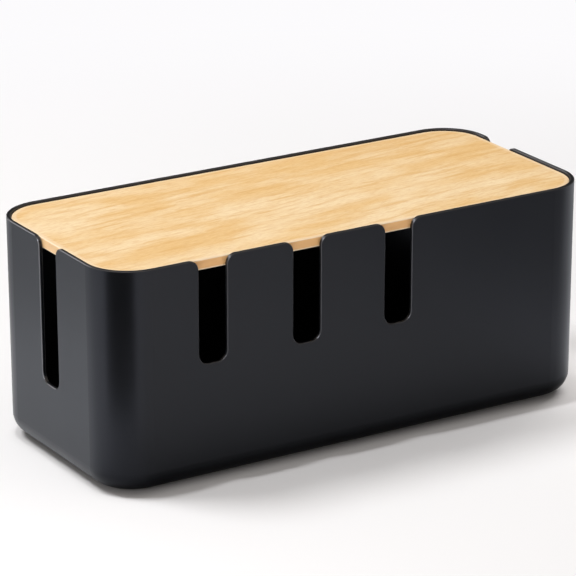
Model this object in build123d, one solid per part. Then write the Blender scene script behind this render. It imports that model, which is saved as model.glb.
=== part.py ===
from build123d import *
import math
import os

# Cable management box: a deep moulded tray with cable slots, a flat wooden lid
# that drops inside its rim, and four rubber feet under the base.
# Millimetres. +Z is up and the long side lies along X. The wall with three
# slots faces -Y. The origin is on the standing surface, under the middle.

# Moulded tray
tray_length = 320.0
tray_width = 140.0
tray_height = 130.5
corner_radius = 27.0
base_fillet = 12.0
wall = 2.4
base_thickness = 2.2
draft_angle = 0.25
edge_ease = 0.4

# Cable slots, open at the rim
front_slot_count = 3
front_slot_pitch = 60.5
front_slot_shift = -35.0
front_slot_width = 18.0
front_slot_depth = 61.0
end_slot_width = 19.5
end_slot_depth = 85.0
left_slot_shift = 0.9
right_slot_shift = 22.9
slot_corner_radius = 6.0
slot_mouth_radius = 5.6

# Lid
lid_thickness = 6.0
lid_recess = 1.0
lid_gap = 0.5
lid_top_round = 0.8
lid_bottom_ease = 0.5

# Upright ribs inside the walls, which carry the lid
rib_thickness = 1.6
rib_reach = 3.0
rib_draft = 0.5
rib_corner_gap = 4.0
rib_nose_round = 1.2

# Rubber feet in pockets under the base
foot_diameter = 14.0
foot_thickness = 2.3
foot_standout = 1.5
foot_pocket_clearance = 0.3
foot_edge_ease = 0.6
foot_inset_x = 28.0
foot_inset_y = 25.0

# Heights that follow from the sizes above
base_z = foot_standout
rim_z = base_z + tray_height
lid_seat_z = rim_z - lid_recess - lid_thickness


def tray_block():
    # outside of the tray as a solid, narrowing from the rim to the base
    outline = RectangleRounded(tray_length, tray_width, corner_radius)
    block = extrude(Plane.XY.offset(rim_z) * outline, -tray_height, taper=draft_angle)
    base_edges = block.edges().group_by(Axis.Z)[0]
    return fillet(base_edges, base_fillet)


def tray_cavity():
    # inside of the tray, one wall thickness in from the block all round
    inner_radius = corner_radius - wall
    outline = RectangleRounded(tray_length - 2 * wall, tray_width - 2 * wall, inner_radius)
    depth = tray_height - base_thickness
    cavity = extrude(Plane.XY.offset(rim_z) * outline, -depth, taper=draft_angle)
    floor_edges = cavity.edges().group_by(Axis.Z)[0]
    return fillet(floor_edges, base_fillet - wall)


def slot_profile(width, depth):
    # U with rounded corners at the bottom and a mouth that flares into the rim
    half = width / 2
    low = slot_corner_radius
    flare = slot_mouth_radius
    above = 2 * edge_ease
    with BuildSketch() as profile:
        with BuildLine():
            Line((-half - flare, above), (-half - flare, 0))
            RadiusArc((-half - flare, 0), (-half, -flare), flare)
            Line((-half, -flare), (-half, -depth + low))
            RadiusArc((-half, -depth + low), (-half + low, -depth), -low)
            Line((-half + low, -depth), (half - low, -depth))
            RadiusArc((half - low, -depth), (half, -depth + low), -low)
            Line((half, -depth + low), (half, -flare))
            RadiusArc((half, -flare), (half + flare, 0), flare)
            Line((half + flare, 0), (half + flare, above))
            Line((half + flare, above), (-half - flare, above))
        make_face()
    return profile.sketch


def front_slot_positions():
    middle = (front_slot_count - 1) / 2
    return [front_slot_shift + (n - middle) * front_slot_pitch for n in range(front_slot_count)]


def slot_cutters():
    reach = corner_radius
    cutters = []
    for x in front_slot_positions():
        face = Plane(origin=(x, -tray_width / 2 - reach / 2, rim_z), x_dir=(1, 0, 0), z_dir=(0, -1, 0))
        cutters.append(extrude(face * slot_profile(front_slot_width, front_slot_depth), -reach))
    for side, y in ((-1, left_slot_shift), (1, right_slot_shift)):
        face = Plane(origin=(side * (tray_length + reach) / 2, y, rim_z), x_dir=(0, 1, 0), z_dir=(1, 0, 0))
        cutters.append(extrude(face * slot_profile(end_slot_width, end_slot_depth), -side * reach))
    return cutters


def long_wall_rib_positions():
    # one rib near each corner, one on each tab between two slots, and one half way
    # along the plain stretch beside the slots
    end = tray_length / 2 - corner_radius - rib_corner_gap
    slots = front_slot_positions()
    tabs = [(a + b) / 2 for a, b in zip(slots, slots[1:])]
    last_slot_side = slots[-1] + front_slot_width / 2 + slot_mouth_radius
    return [-end] + tabs + [(last_slot_side + end) / 2, end]


def rib(wall_distance):
    # upright rib against a wall at +X, from the floor up to the lid seat
    inner_face = wall_distance - wall
    height = lid_seat_z - base_z
    foot_reach = rib_reach + height * math.tan(math.radians(rib_draft))
    root = inner_face + wall / 2
    nose = inner_face - rib_reach
    with BuildSketch(Plane.XZ.offset(-rib_thickness / 2)) as side:
        Polygon(
            (inner_face - foot_reach, base_z + base_thickness / 2),
            (root, base_z + base_thickness / 2),
            (root, lid_seat_z),
            (nose, lid_seat_z),
            align=None,
        )
        fillet(side.vertices().sort_by_distance((nose, 0, lid_seat_z))[0], rib_nose_round)
    return extrude(side.sketch, rib_thickness)


def lid_ribs():
    ribs = []
    long_wall = rib(tray_width / 2)
    for x in long_wall_rib_positions():
        ribs.append(Pos(x, 0, 0) * Rot(0, 0, -90) * long_wall)
        ribs.append(Pos(x, 0, 0) * Rot(0, 0, 90) * long_wall)
    end_wall = rib(tray_length / 2)
    y = tray_width / 2 - corner_radius - rib_corner_gap
    for sign in (-1, 1):
        ribs.append(Pos(0, sign * y, 0) * end_wall)
        ribs.append(Pos(0, sign * y, 0) * Rot(0, 0, 180) * end_wall)
    return ribs


def foot_positions():
    x = tray_length / 2 - foot_inset_x
    y = tray_width / 2 - foot_inset_y
    return {
        "foot_front_left": (-x, -y),
        "foot_front_right": (x, -y),
        "foot_rear_left": (-x, y),
        "foot_rear_right": (x, y),
    }


def foot_pockets():
    depth = foot_thickness - foot_standout
    radius = foot_diameter / 2 + foot_pocket_clearance
    below = foot_standout
    pocket = extrude(Plane.XY.offset(base_z - below) * Circle(radius), below + depth)
    return [Pos(x, y, 0) * pocket for x, y in foot_positions().values()]


def crosses_wall(edge):
    # true for the short straight edges that run through the wall at a slot
    if edge.geom_type != GeomType.LINE:
        return False
    way = edge.tangent_at(0)
    middle = edge.center()
    through_long_wall = abs(way.Y) > 0.99 and abs(middle.Y) > tray_width / 2 - 2 * wall
    through_end_wall = abs(way.X) > 0.99 and abs(middle.X) > tray_length / 2 - 2 * wall
    return through_long_wall or through_end_wall


def rim_and_slot_edges(shell):
    # the rim and the slot outlines, outside and inside, as one running edge
    lowest_slot_floor = rim_z - max(front_slot_depth, end_slot_depth)
    upper = [e for e in shell.edges() if e.bounding_box().min.Z > lowest_slot_floor - wall]
    return [e for e in upper if not crosses_wall(e)]


def make_tray():
    block = tray_block()
    shell = block - tray_cavity() - slot_cutters()
    shell = chamfer(rim_and_slot_edges(shell), edge_ease)
    ribs = Part() + lid_ribs()
    return shell + (ribs & block) - foot_pockets()


def make_lid():
    inset = wall + lid_gap
    outline = RectangleRounded(
        tray_length - 2 * inset, tray_width - 2 * inset, corner_radius - inset
    )
    panel = extrude(Plane.XY.offset(lid_seat_z) * outline, lid_thickness)
    panel = fillet(panel.edges().group_by(Axis.Z)[-1], lid_top_round)
    return chamfer(panel.edges().group_by(Axis.Z)[0], lid_bottom_ease)


def make_foot(x, y):
    disc = extrude(Circle(foot_diameter / 2), foot_thickness)
    disc = chamfer(disc.edges().group_by(Axis.Z)[0], foot_edge_ease)
    return Pos(x, y, 0) * disc


os.makedirs("parts", exist_ok=True)
export_step(make_tray(), "parts/tray.step")
export_step(make_lid(), "parts/lid.step")
for name, (x, y) in foot_positions().items():
    export_step(make_foot(x, y), f"parts/{name}.step")
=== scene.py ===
import math

import bpy
from mathutils import Matrix, Vector


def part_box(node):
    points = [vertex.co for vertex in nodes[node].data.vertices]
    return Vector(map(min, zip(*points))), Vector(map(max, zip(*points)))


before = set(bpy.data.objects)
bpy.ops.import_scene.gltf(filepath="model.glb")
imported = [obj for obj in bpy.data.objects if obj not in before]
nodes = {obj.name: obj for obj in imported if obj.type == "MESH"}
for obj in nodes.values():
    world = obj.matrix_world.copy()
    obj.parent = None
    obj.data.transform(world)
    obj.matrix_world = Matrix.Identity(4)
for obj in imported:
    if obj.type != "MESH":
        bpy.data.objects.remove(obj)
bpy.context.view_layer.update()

# Everything is in metres, in the box's own frame: X along the length, -Y the
# slotted front, Z up from the table.


# Camera

cameraSettings = {
    "azimuth": -31.615,  # degrees, 0 looks along +Y
    "elevation": 19.459,
    "roll": -0.084,
    "distance": 2.0074,
    "aim": (0.0, 0.0, 0.0665),
    "slideRight": -0.003941,
    "slideUp": 0.008621,
    "lens": 216.588,
    "sensorWidth": 36,
    "clip": (0.05, 40),
}


def addCamera(settings):
    a = math.radians(settings["azimuth"])
    e = math.radians(settings["elevation"])
    roll = math.radians(settings["roll"])
    back = Vector((math.sin(a) * math.cos(e), -math.cos(a) * math.cos(e), math.sin(e)))
    right = Vector((0, 0, 1)).cross(back).normalized()
    up = back.cross(right)
    turnedRight = right * math.cos(roll) + up * math.sin(roll)
    turnedUp = up * math.cos(roll) - right * math.sin(roll)
    place = Vector(settings["aim"]) + back * settings["distance"]
    place += turnedRight * settings["slideRight"] + turnedUp * settings["slideUp"]
    data = bpy.data.cameras.new("camera")
    data.lens = settings["lens"]
    data.sensor_width = settings["sensorWidth"]
    data.clip_start, data.clip_end = settings["clip"]
    camera = bpy.data.objects.new("camera", data)
    axes = Matrix((turnedRight, turnedUp, back)).transposed()
    camera.matrix_world = Matrix.Translation(place) @ axes.to_4x4()
    bpy.context.scene.collection.objects.link(camera)
    bpy.context.scene.camera = camera


addCamera(cameraSettings)
print("camera in place")


# Helpers for node trees. What goes into a node is either a plain value or the
# output of another node.

def newNode(tree, kind, inputs=(), **settings):
    made = tree.nodes.new(kind)
    for name, value in settings.items():
        setattr(made, name, value)
    for socket, value in dict(inputs).items():
        if isinstance(value, bpy.types.NodeSocket):
            tree.links.new(value, made.inputs[socket])
        else:
            made.inputs[socket].default_value = value
    return made


def calc(tree, operation, *values):
    return newNode(tree, "ShaderNodeMath", dict(enumerate(values)), operation=operation).outputs[0]


def calcVector(tree, operation, *values):
    made = newNode(tree, "ShaderNodeVectorMath", dict(enumerate(values)), operation=operation)
    return made.outputs["Value" if operation in ("LENGTH", "DISTANCE", "DOT_PRODUCT") else "Vector"]


def scaleVector(tree, vector, amount):
    made = newNode(tree, "ShaderNodeVectorMath", {0: vector, "Scale": amount}, operation="SCALE")
    return made.outputs["Vector"]


def split(tree, vector):
    return newNode(tree, "ShaderNodeSeparateXYZ", {0: vector}).outputs[:]


def fade(tree, value, start, end, low=0.0, high=1.0, kind="SMOOTHSTEP"):
    # low up to start, high beyond end and a soft run between them
    inputs = {"Value": value, "From Min": start, "From Max": end, "To Min": low, "To Max": high}
    return newNode(tree, "ShaderNodeMapRange", inputs, interpolation_type=kind).outputs["Result"]


def ramp(tree, value, start, end, low=0.0, high=1.0):
    # the same with a straight run
    return fade(tree, value, start, end, low, high, kind="LINEAR")


def between(tree, value, low, high):
    # 1 where the value lies between low and high, else 0
    over = calc(tree, "GREATER_THAN", value, low)
    under = calc(tree, "LESS_THAN", value, high)
    return calc(tree, "MULTIPLY", over, under)


def mixColours(tree, factor, first, second, kind="MIX"):
    inputs = {"Factor": factor, "A": first, "B": second}
    return newNode(tree, "ShaderNodeMix", inputs, data_type="RGBA", blend_type=kind).outputs["Result"]


def lay(tree, mask, amount, under, over):
    # one colour on another, where the mask is and by that amount
    return mixColours(tree, calc(tree, "MULTIPLY", mask, amount), under, over)


def noise(tree, vector, scale, detail, roughness):
    inputs = {"Vector": vector, "Scale": scale, "Detail": detail, "Roughness": roughness}
    return newNode(tree, "ShaderNodeTexNoise", inputs)


def bumpNormal(tree, height, look):
    inputs = {"Strength": look["bump"], "Distance": look["bumpDepth"], "Height": height}
    return newNode(tree, "ShaderNodeBump", inputs).outputs["Normal"]


def ownPlace(tree):
    return newNode(tree, "ShaderNodeTexCoord").outputs["Object"]


def facing(tree):
    return newNode(tree, "ShaderNodeNewGeometry").outputs["True Normal"]


nodeSpacing = (220, 260)  # from column to column and from row to row


def layOut(tree):
    # each node goes as many columns to the left as it lies steps before the output
    column = dict.fromkeys(tree.nodes.keys(), 0)
    for _ in column:
        for link in tree.links:
            steps = column[link.to_node.name] + 1
            column[link.from_node.name] = max(column[link.from_node.name], steps)
    filled = {}
    for node in tree.nodes:
        place = column[node.name]
        node.location = (-nodeSpacing[0] * place, -nodeSpacing[1] * filled.get(place, 0))
        filled[place] = filled.get(place, 0) + 1


def newMaterial(name):
    material = bpy.data.materials.new(name)
    material.use_nodes = True
    material.node_tree.nodes.clear()
    return material, material.node_tree


def finishTree(tree, shader, outputKind="ShaderNodeOutputMaterial"):
    newNode(tree, outputKind, {"Surface": shader.outputs[0]})
    layOut(tree)


def useMaterial(nodeName, material):
    mesh = nodes[nodeName].data
    mesh.materials.clear()
    mesh.materials.append(material)


# Shared effect: the fine grain of a moulded surface, with a slow drift in gloss

grainDefaults = {"Grain Size": 0.0004, "Drift Size": 0.06, "Low": 0.35, "High": 0.45}
noiseSpan = (0.3, 0.7)  # where most of a noise's values lie


def buildMouldedGrain():
    group = bpy.data.node_groups.new("mouldedGrain", "ShaderNodeTree")
    for name, value in grainDefaults.items():
        socket = group.interface.new_socket(name, in_out="INPUT", socket_type="NodeSocketFloat")
        socket.default_value = value
    for name in ("Height", "Roughness", "Drift"):
        group.interface.new_socket(name, in_out="OUTPUT", socket_type="NodeSocketFloat")
    given = newNode(group, "NodeGroupInput").outputs
    place = ownPlace(group)
    fineScale = calc(group, "DIVIDE", 1, given["Grain Size"])
    driftScale = calc(group, "DIVIDE", 1, given["Drift Size"])
    fine = noise(group, place, fineScale, detail=2.0, roughness=0.6).outputs["Fac"]
    drift = noise(group, place, driftScale, detail=3.0, roughness=0.55).outputs["Fac"]
    gloss = ramp(group, drift, *noiseSpan, given["Low"], given["High"])
    newNode(group, "NodeGroupOutput", {"Height": fine, "Roughness": gloss, "Drift": drift})
    layOut(group)
    return group


mouldedGrain = buildMouldedGrain()


def mouldedSurface(name, look):
    # what the tray and the feet share; the colour still goes into the surface
    material, tree = newMaterial(name)
    grain = newNode(tree, "ShaderNodeGroup", look["grain"], node_tree=mouldedGrain).outputs
    colour = mixColours(tree, grain["Drift"], look["dark"], look["light"])
    surface = newNode(tree, "ShaderNodeBsdfPrincipled", {
        "IOR": look["ior"],
        "Roughness": grain["Roughness"],
        "Normal": bumpNormal(tree, grain["Height"], look),
    })
    return material, tree, surface, colour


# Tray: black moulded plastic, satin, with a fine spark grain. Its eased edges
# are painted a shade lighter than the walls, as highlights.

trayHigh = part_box("tray")[1]

trayLook = {
    "dark": (0.0040, 0.0044, 0.0055, 1),
    "light": (0.0058, 0.0063, 0.0077, 1),
    # painted highlights: the eased edges of the front slots, the end slots and the rim are painted paler
    "slotHighlight": (0.085, 0.087, 0.095, 1),
    "endSlotHighlight": (0.20, 0.205, 0.22, 1),
    "rimHighlight": (0.037, 0.034, 0.032, 1),
    "specularTint": (0.86, 0.88, 1.0, 1),
    "ior": 1.46,
    "grain": {"Grain Size": 0.00035, "Drift Size": 0.07, "Low": 0.29, "High": 0.34},
    "bump": 0.12,
    "bumpDepth": 0.00002,
    "corner": 0.027,  # radius in plan
    "baseTop": 0.016,  # everything lower belongs to the rounded base
    "bevelFacing": (0.5, 0.9),  # how far a bevel's face is turned out of the wall
}


def easedEdges(tree, look):
    # masks of the narrow bevels on the long walls, on the end walls and at the
    # rim: on a straight wall only they are turned half way out of the wall
    x, y, z = split(tree, ownPlace(tree))
    outX, outY, outZ = split(tree, facing(tree))

    def bevelOn(along, halfSize, outward):
        straight = calc(tree, "LESS_THAN", calc(tree, "ABSOLUTE", along), halfSize - look["corner"])
        turned = between(tree, calc(tree, "ABSOLUTE", outward), *look["bevelFacing"])
        return calc(tree, "MULTIPLY", straight, turned)

    bevels = (
        bevelOn(x, trayHigh.x, outY),
        bevelOn(y, trayHigh.y, outX),
        between(tree, outZ, *look["bevelFacing"]),
    )
    above = calc(tree, "GREATER_THAN", z, look["baseTop"])
    return [calc(tree, "MULTIPLY", bevel, above) for bevel in bevels]


def buildTrayPlastic(look):
    material, tree, plastic, colour = mouldedSurface("trayPlastic", look)
    # each eased edge gets its painted highlight, a paler colour than the walls
    for mask, edge in zip(easedEdges(tree, look), ("slotHighlight", "endSlotHighlight", "rimHighlight")):
        colour = mixColours(tree, mask, colour, look[edge])
    tree.links.new(colour, plastic.inputs["Base Color"])
    plastic.inputs["Specular Tint"].default_value = look["specularTint"]
    finishTree(tree, plastic)
    return material


useMaterial("tray", buildTrayPlastic(trayLook))
print("tray plastic done")


# Feet: matte black rubber

footLook = {
    "dark": (0.010, 0.010, 0.010, 1),
    "light": (0.022, 0.021, 0.020, 1),
    "ior": 1.45,
    "grain": {"Grain Size": 0.0006, "Drift Size": 0.01, "Low": 0.78, "High": 0.9},
    "bump": 0.4,
    "bumpDepth": 0.00005,
}


def buildFootRubber(look):
    material, tree, rubber, colour = mouldedSurface("footRubber", look)
    tree.links.new(colour, rubber.inputs["Base Color"])
    finishTree(tree, rubber)
    return material


footRubber = buildFootRubber(footLook)
for name in nodes:
    if name.startswith("foot_"):
        useMaterial(name, footRubber)
print("feet done")


# Lid: pale wood with soft golden streaks that run a little off the length

lidLow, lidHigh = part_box("lid")

lidLook = {
    "cream": (0.985, 0.775, 0.488, 1),
    "honey": (0.884, 0.586, 0.262, 1),
    "gold": (0.785, 0.456, 0.144, 1),
    "brown": (0.640, 0.330, 0.110, 1),
    "sawn": (0.940, 0.545, 0.228, 1),
    "sawnStreak": (0.840, 0.455, 0.180, 1),
    "endGrainAndLight": (0.965, 0.670, 0.365, 1),
    "edgeHighlight": (0.960, 0.760, 0.540, 1),
    "corner": 0.0241,  # radius in plan
    "grainTurn": 6,  # degrees off the length
    "sway": {"scale": 14.0, "reach": 0.008},  # how the grain wanders
    # the grain from coarse to fine: the size of one mark, the part of the noise
    # that shows, the tone that it brings and how much of it
    "clouds": {"size": (0.065, 0.024), "span": (0.36, 0.64), "seed": 0.31, "tone": "honey", "amount": 0.95},
    "streaks": {"size": (0.040, 0.0042), "span": (0.46, 0.74), "seed": 0.57, "tone": "gold", "amount": 0.65},
    "dashes": {"size": (0.012, 0.0015), "span": (0.46, 0.76), "seed": 0.83, "tone": "gold", "amount": 0.50},
    "fibres": {"size": (0.004, 0.0005), "span": (0.40, 0.75), "seed": 0.19, "tone": "brown", "amount": 0.33},
    # a paler oval along the middle and a deeper one at the rear right
    "parts": (
        {"centre": (0.005, 0.002), "halfSize": (0.160, 0.026), "tone": "cream", "amount": 0.60},
        {"centre": (0.130, 0.066), "halfSize": (0.125, 0.040), "tone": "gold", "amount": 0.50},
    ),
    # painted highlights: the arrises and a border along them are painted lighter
    "border": {"width": 0.0034, "blur": 0.0012, "amount": 0.5},
    "topArris": {"facing": (0.3, 0.93), "amount": 0.8},  # a side looks up less, the top more
    "lowArris": {"height": 0.0009, "amount": 0.75},
    # the sawn sides are darker and pinker; their short ends are paler, partly end grain and partly painted
    # light
    "sides": {"streaks": 0.7, "endFacing": 0.7, "ends": 0.8},
    "gloss": (0.44, 0.58),
    "ior": 1.45,
    "bump": 0.3,
    "bumpDepth": 0.00006,
}
seedWay = (1, 1.7, 0.6)  # a seed shifts its noise this way


def swayingGrain(tree, place, look):
    # the place on the board, pushed about a little so that no streak is straight
    bend = noise(tree, place, look["sway"]["scale"], detail=1.0, roughness=0.5).outputs["Color"]
    return calcVector(tree, "ADD", place, scaleVector(tree, bend, look["sway"]["reach"]))


def grainMarks(tree, along, marks, turn):
    # noise drawn out along the grain, as a mask from 0 to 1
    length, width = marks["size"]
    mapping = newNode(tree, "ShaderNodeMapping", {
        "Vector": along,
        "Location": tuple(marks["seed"] * way for way in seedWay),
        "Rotation": (0, 0, math.radians(turn)),
        "Scale": (length, width, width),
    }, vector_type="TEXTURE")
    drawnOut = noise(tree, mapping.outputs["Vector"], 1.0, detail=3.0, roughness=0.55)
    return fade(tree, drawnOut.outputs["Fac"], *marks["span"])


def toneOval(tree, along, part):
    # 1 in the middle of a long oval, fading to 0 at its edge
    centred = newNode(tree, "ShaderNodeMapping", {
        "Vector": along,
        "Location": (*part["centre"], 0),
        "Scale": (*part["halfSize"], 1),
    }, vector_type="TEXTURE")
    return fade(tree, calcVector(tree, "LENGTH", centred.outputs["Vector"]), 1.0, 0.0)


def insetFromOutline(tree, place, look):
    # how far a point lies inside the rounded rectangle of the lid
    straight = (lidHigh.x - look["corner"], lidHigh.y - look["corner"], 0)
    away = calcVector(tree, "ABSOLUTE", calcVector(tree, "MULTIPLY", place, (1, 1, 0)))
    past = calcVector(tree, "SUBTRACT", away, straight)
    reach = calcVector(tree, "LENGTH", calcVector(tree, "MAXIMUM", past, (0, 0, 0)))
    pastX, pastY, _ = split(tree, past)
    within = calc(tree, "MINIMUM", calc(tree, "MAXIMUM", pastX, pastY), 0)
    return calc(tree, "SUBTRACT", look["corner"], calc(tree, "ADD", reach, within))


def topColour(tree, place, along, marks, look):
    def layMarks(name, under):
        return lay(tree, marks[name], look[name]["amount"], under, look[look[name]["tone"]])

    colour = layMarks("clouds", look["cream"])
    for part in look["parts"]:
        colour = lay(tree, toneOval(tree, along, part), part["amount"], colour, look[part["tone"]])
    for name in ("streaks", "dashes", "fibres"):
        colour = layMarks(name, colour)
    # a border along the outline is painted lighter, as a highlight
    border = look["border"]
    inset = insetFromOutline(tree, place, look)
    nearEdge = fade(tree, inset, border["width"], border["width"] - border["blur"])
    return lay(tree, nearEdge, border["amount"], colour, look["edgeHighlight"])


def sideColour(tree, place, outX, marks, look):
    sides, lowArris = look["sides"], look["lowArris"]
    colour = lay(tree, marks["streaks"], sides["streaks"], look["sawn"], look["sawnStreak"])
    # the short ends are painted paler: partly end grain, partly painted light
    onEnd = calc(tree, "GREATER_THAN", calc(tree, "ABSOLUTE", outX), sides["endFacing"])
    colour = lay(tree, onEnd, sides["ends"], colour, look["endGrainAndLight"])
    # the low arris is painted lighter, as a highlight
    height = split(tree, place)[2]
    low = calc(tree, "LESS_THAN", height, lidLow.z + lowArris["height"])
    return lay(tree, low, lowArris["amount"], colour, look["edgeHighlight"])


def buildLidWood(look):
    material, tree = newMaterial("lidWood")
    place = ownPlace(tree)
    along = swayingGrain(tree, place, look)
    marks = {
        name: grainMarks(tree, along, look[name], look["grainTurn"])
        for name in ("clouds", "streaks", "dashes", "fibres")
    }
    outX, _, outZ = split(tree, facing(tree))
    upright = calc(tree, "ABSOLUTE", outZ)
    topArris = look["topArris"]
    onSide = calc(tree, "LESS_THAN", upright, topArris["facing"][0])
    onArris = between(tree, upright, *topArris["facing"])

    top = topColour(tree, place, along, marks, look)
    side = sideColour(tree, place, outX, marks, look)
    colour = mixColours(tree, onSide, top, side)
    # the arrises are painted lighter, as a highlight
    colour = lay(tree, onArris, topArris["amount"], colour, look["edgeHighlight"])
    finishTree(tree, newNode(tree, "ShaderNodeBsdfPrincipled", {
        "IOR": look["ior"],
        "Base Color": colour,
        "Roughness": ramp(tree, marks["fibres"], 0, 1, *look["gloss"]),
        "Normal": bumpNormal(tree, marks["dashes"], look),
    }))
    return material


useMaterial("lid", buildLidWood(lidLook))
print("lid wood done")


# Studio: a pale floor that runs into a white backdrop, a black card, lamps and
# a room that is brightest overhead and in front

backdropColour = (0.975, 0.965, 0.98, 1)


def stageSheet(name, corners):
    mesh = bpy.data.meshes.new(name)
    mesh.from_pydata(corners, [], [(0, 1, 2, 3)])
    sheet = bpy.data.objects.new(name, mesh)
    bpy.context.scene.collection.objects.link(sheet)
    return sheet


# Floor. What the walls mirror of it is set apart from how it looks itself: each
# level below is a share of its own brightness.

floorLook = {
    "size": 12.0,
    "colour": (0.908, 0.905, 0.918, 1),
    "runOut": (0.35, 0.85),  # between these distances it runs into the backdrop
    # in the front wall: levels by Y, and the stretch of X where they hold
    "frontLevels": (
        (-0.35, 0.92), (-0.23, 0.84), (-0.155, 0.66), (-0.112, 0.50),
        (-0.085, 0.25), (-0.07, 0.08), (-0.05, 0.5), (-0.03, 1.0),
    ),
    "frontRange": (-0.4, 0.1),
    "frontStretch": (-0.20, -0.13, 0.14, 0.22),
    "frontTint": (0.94, 0.96, 0.95),
    "sideTint": (0.995, 1.04, 1.10, 1),
    # dimmer towards the rear left, and beside the front left corner
    "rearLeft": {"way": (-0.5, 1, 0), "start": 0.29, "end": 0.415, "level": 0.66},
    "frontLeft": {"spot": (-0.165, -0.090, 0.0), "inner": 0.035, "outer": 0.080, "level": 0.62},
    # dimmer at the right: where the loss sets in along X and along Y
    "losses": (
        {"x": (0.11, 0.28), "y": (-0.12, -0.27), "loss": 0.60},
        {"x": (0.19, 0.30), "y": (-2.00, -1.90), "loss": 0.18},
        {"x": (0.19, 0.29), "y": (-0.03, 0.10), "loss": 0.22},
    ),
}


def frontLevels(tree, y, look):
    start, end = look["frontRange"]
    bands = newNode(tree, "ShaderNodeValToRGB", {"Fac": ramp(tree, y, start, end)})
    stops = bands.color_ramp.elements
    while len(stops) < len(look["frontLevels"]):
        stops.new(0.5)
    for stop, (depth, level) in zip(stops, look["frontLevels"]):
        stop.position = (depth - start) / (end - start)
        stop.color = tuple(level * part for part in look["frontTint"]) + (1,)
    return bands.outputs["Color"]


def mirroredShare(tree, place, look):
    # how much of the floor's colour a wall mirrors, by place
    x, y, _ = split(tree, place)
    rise, full, fall, gone = look["frontStretch"]
    inFront = calc(tree, "MULTIPLY", ramp(tree, x, rise, full), ramp(tree, x, gone, fall))
    tint = mixColours(tree, inFront, look["sideTint"], frontLevels(tree, y, look))

    rearLeft = look["rearLeft"]
    backwards = calcVector(tree, "DOT_PRODUCT", place, rearLeft["way"])
    share = ramp(tree, backwards, rearLeft["start"], rearLeft["end"], 1.0, rearLeft["level"])
    for part in look["losses"]:
        across = ramp(tree, x, *part["x"])
        lost = calc(tree, "MULTIPLY", across, ramp(tree, y, *part["y"], 0.0, part["loss"]))
        share = calc(tree, "MULTIPLY", share, calc(tree, "SUBTRACT", 1.0, lost))
    frontLeft = look["frontLeft"]
    away = calcVector(tree, "DISTANCE", place, frontLeft["spot"])
    atCorner = ramp(tree, away, frontLeft["inner"], frontLeft["outer"], frontLeft["level"], 1.0)
    return scaleVector(tree, tint, calc(tree, "MULTIPLY", atCorner, share))


def buildFloor(look):
    half = look["size"] / 2
    floor = stageSheet("floor", [(-half, -half, 0), (half, -half, 0), (half, half, 0), (-half, half, 0)])
    material, tree = newMaterial("paleFloor")
    place = ownPlace(tree)
    ray = newNode(tree, "ShaderNodeLightPath").outputs
    share = mirroredShare(tree, place, look)

    def mirrored(colour):
        return mixColours(tree, ray["Is Glossy Ray"], colour, share, "MULTIPLY")

    paint = newNode(tree, "ShaderNodeBsdfDiffuse", {"Color": mirrored(look["colour"])})
    glow = newNode(tree, "ShaderNodeEmission", {"Color": mirrored(backdropColour), "Strength": 1.0})
    seen = calc(tree, "MAXIMUM", ray["Is Camera Ray"], ray["Is Glossy Ray"])
    seen = calc(tree, "MAXIMUM", seen, ray["Is Transmission Ray"])
    far = fade(tree, calcVector(tree, "LENGTH", place), *look["runOut"])
    inputs = {0: calc(tree, "MULTIPLY", far, seen), 1: paint.outputs[0], 2: glow.outputs[0]}
    finishTree(tree, newNode(tree, "ShaderNodeMixShader", inputs))
    floor.data.materials.append(material)


buildFloor(floorLook)
print("floor done")


# A black card at the front left corner, seen only in the gloss of the walls

cardLook = {
    "place": (-0.2444, -0.1427, 0.2),
    "turn": -50.2,  # degrees, 0 stands along X
    "size": (0.182, 0.40),
    "colour": (0.0, 0.0, 0.0, 1),
}


def buildDarkCard(look):
    turn = math.radians(look["turn"])
    width, height = look["size"]
    centre = Vector(look["place"])
    across = Vector((math.cos(turn), math.sin(turn), 0)) * width / 2
    upward = Vector((0, 0, height / 2))
    low, high = centre - upward, centre + upward
    card = stageSheet("darkCard", [low - across, low + across, high + across, high - across])
    material, tree = newMaterial("blackCard")
    finishTree(tree, newNode(tree, "ShaderNodeBsdfDiffuse", {"Color": look["colour"]}))
    card.data.materials.append(material)
    card.visible_camera = False
    card.visible_diffuse = False
    card.visible_shadow = False
    card.visible_transmission = False


buildDarkCard(cardLook)
print("card done")


# Room: a dim warm white, brighter overhead and low down in front

roomLook = {
    "colour": (1.0, 0.945, 0.89, 1),
    "overhead": {"start": 0.3, "end": 1.0, "low": 0.03, "high": 0.56},  # by height
    "inFront": {"start": 0.25, "end": -0.9, "low": 0.0, "high": 0.82},  # by Y
    "lowDown": {"start": 0.0, "end": 0.6, "low": 1.0, "high": 0.0},  # by height, in front only
    "horizon": {"start": 0.10, "end": 0.0},  # by height, where gloss shows the backdrop
}


def buildWorld(look):
    world = bpy.data.worlds.new("studioWhite")
    bpy.context.scene.world = world
    world.use_nodes = True
    tree = world.node_tree
    tree.nodes.clear()
    _, y, z = split(tree, newNode(tree, "ShaderNodeTexCoord").outputs["Generated"])
    front = calc(tree, "MULTIPLY", fade(tree, y, **look["inFront"]), fade(tree, z, **look["lowDown"]))
    strength = calc(tree, "ADD", fade(tree, z, **look["overhead"]), front)
    room = newNode(tree, "ShaderNodeBackground", {"Color": look["colour"], "Strength": strength})
    backdrop = newNode(tree, "ShaderNodeBackground", {"Color": backdropColour, "Strength": 1.0})

    ray = newNode(tree, "ShaderNodeLightPath").outputs
    inGloss = calc(tree, "MULTIPLY", ray["Is Glossy Ray"], fade(tree, z, **look["horizon"]))
    seen = calc(tree, "MAXIMUM", ray["Is Camera Ray"], ray["Is Transmission Ray"])
    inputs = {0: calc(tree, "MAXIMUM", seen, inGloss), 1: room.outputs[0], 2: backdrop.outputs[0]}
    finishTree(tree, newNode(tree, "ShaderNodeMixShader", inputs), "ShaderNodeOutputWorld")


buildWorld(roomLook)
print("room done")


# Lamps. A lamp is round, or a rectangle where it has a depth too.

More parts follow.
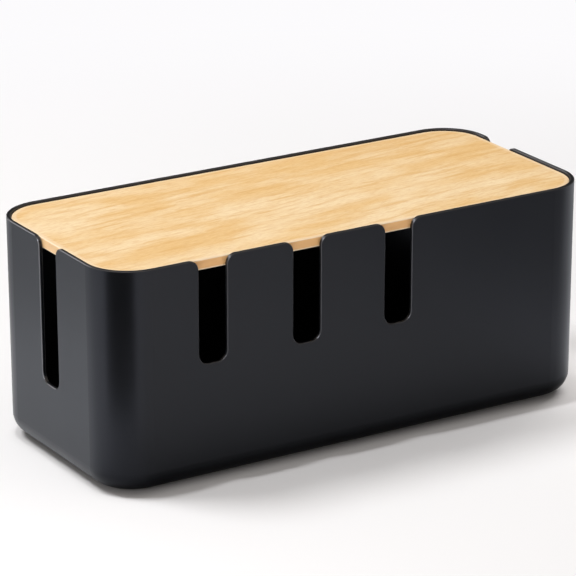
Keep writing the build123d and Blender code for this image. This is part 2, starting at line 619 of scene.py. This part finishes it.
lampDefaults = {"aim": (0, 0, 0.05), "colour": (1, 1, 1), "inGloss": True, "inDiffuse": True}
fillColour = (1.0, 0.97, 0.95)

lamps = {
    # a soft key behind on the left, kept out of the gloss so that the rim has no hard spot
    "keyLamp": {"place": (-1.19, 0.91, 2.60), "size": 1.0, "watts": 46.6, "inGloss": False},
    # a narrow one high up, pointing straight down
    "topLamp": {
        "place": (-0.38, 0.11, 4.0), "aim": (-0.38, 0.11, 0), "size": 0.7, "depth": 0.12,
        "watts": 42,
    },
    # these show only in the gloss of edges
    "rimLamp": {"place": (-0.85, 2.0, 1.25), "size": 1.2, "watts": 17, "inDiffuse": False},
    "endSlotLamp": {"place": (-1.20, -0.18, 0.95), "size": 0.5, "watts": 7.5, "inDiffuse": False},
    "frontSlotLamp": {"place": (-0.75, -0.88, 1.0), "size": 0.5, "watts": 9, "inDiffuse": False},
    # two weak ones low down that lift the shade at the left and at the right end
    "leftFill": {
        "place": (-0.45, -0.25, 0.15), "size": 0.2, "watts": 0.26,
        "colour": fillColour, "inGloss": False,
    },
    "rightFill": {
        "place": (0.194, -0.05, 0.075), "aim": (0.15, -0.06, 0.0), "size": 0.06, "watts": 0.037,
        "colour": fillColour, "inGloss": False,
    },
}


def addLamp(name, settings):
    data = bpy.data.lights.new(name, "AREA")
    data.shape = "DISK"
    data.size = settings["size"]
    if "depth" in settings:
        data.shape = "RECTANGLE"
        data.size_y = settings["depth"]
    data.energy = settings["watts"]
    data.color = settings["colour"]
    lamp = bpy.data.objects.new(name, data)
    lamp.location = settings["place"]
    lamp.rotation_mode = "QUATERNION"
    lamp.rotation_quaternion = (Vector(settings["aim"]) - lamp.location).to_track_quat("-Z", "Y")
    lamp.visible_camera = False
    lamp.visible_glossy = settings["inGloss"]
    lamp.visible_diffuse = settings["inDiffuse"]
    bpy.context.scene.collection.objects.link(lamp)


for name, settings in lamps.items():
    addLamp(name, {**lampDefaults, **settings})
print("lamps done")

bpy.context.scene.view_settings.view_transform = "Standard"
